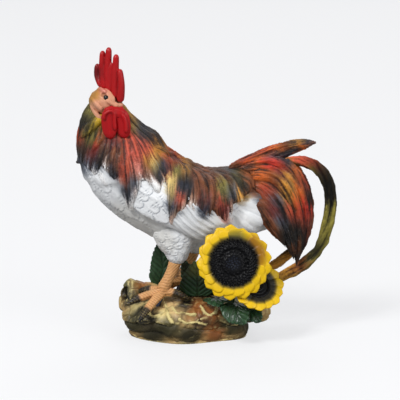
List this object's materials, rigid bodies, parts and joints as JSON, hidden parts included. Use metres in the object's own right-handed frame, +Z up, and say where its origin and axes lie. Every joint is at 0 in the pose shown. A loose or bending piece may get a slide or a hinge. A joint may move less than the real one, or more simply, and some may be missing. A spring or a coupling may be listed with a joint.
{
  "type": "rooster garden figure",
  "caption": "Painted resin rooster garden figure on a log base with sunflowers, white body, flame-coloured hackle and a sickle tail",
  "frame": {"origin": "point on the flat underside of the base, below the middle of the figure", "axes": "+Z up; the rooster faces -X; its left side, the side shown in the picture, faces -Y"},
  "size_m": [0.3865, 0.1738, 0.4329],
  "materials": {
    "resin_white": "white painted resin, grey wash in the feather lines, satin varnish",
    "resin_hackle": "airbrushed rust, red, ochre and black feather locks",
    "resin_tail": "airbrushed orange, ochre and blue-black tail feathers, varnished",
    "resin_ribbon": "rust, black and olive sickle feathers, varnished",
    "resin_red": "bright red comb and wattles, varnished",
    "resin_skin": "peach face paint with ochre shading",
    "eye_black": "glossy black",
    "resin_leg": "tan scaled legs with brown wash and black claws",
    "steel_rod": "plain drawn steel",
    "resin_petal": "yellow petals shaded with brown, varnished",
    "resin_seed": "black seed disc with a blue-grey sheen",
    "resin_green": "dark green leaves with light veins",
    "resin_bark": "dark olive-brown bark, dry-brushed cream",
    "base_board": "dull dark grey filler plate"
  },
  "bodies": {
    "root": {"arch_plume_left": "resin_tail", "arch_plume_right": "resin_tail", "base_plate": "base_board", "base_shell": "resin_bark", "beak_lower": "resin_skin", "beak_upper": "resin_skin", "body_shell": "resin_white", "comb": "resin_red", "eye_left": "eye_black", "eye_right": "eye_black", "head": "resin_skin", "inner_sickle": "resin_ribbon", "large_petals": "resin_petal", "large_seed_disc": "resin_seed", "large_stalk": "resin_green", "leaf_behind_leg": "resin_green", "leaf_beside_leg": "resin_green", "leaf_front_large": "resin_green", "leaf_front_right": "resin_green", "leaf_rear_left": "resin_green", "leaf_rear_right": "resin_green", "leaf_under_flower": "resin_green", "leg_left": "resin_leg", "leg_right": "resin_leg", "leg_rod_left": "steel_rod", "leg_rod_right": "steel_rod", "low_plume_left": "resin_tail", "low_plume_right": "resin_tail", "main_plume_left": "resin_tail", "main_plume_right": "resin_tail", "neck_hackle": "resin_hackle", "outer_sickle": "resin_ribbon", "saddle_cape": "resin_hackle", "side_plume_left": "resin_tail", "side_plume_right": "resin_tail", "small_petals": "resin_petal", "small_seed_disc": "resin_seed", "small_stalk": "resin_green", "thigh_left": "resin_white", "thigh_right": "resin_white", "top_plume_left": "resin_tail", "top_plume_right": "resin_tail", "vent_fluff": "resin_white", "wattle_left": "resin_red", "wattle_right": "resin_red", "wing_left": "resin_white", "wing_right": "resin_white"}
  },
  "joints": []
}
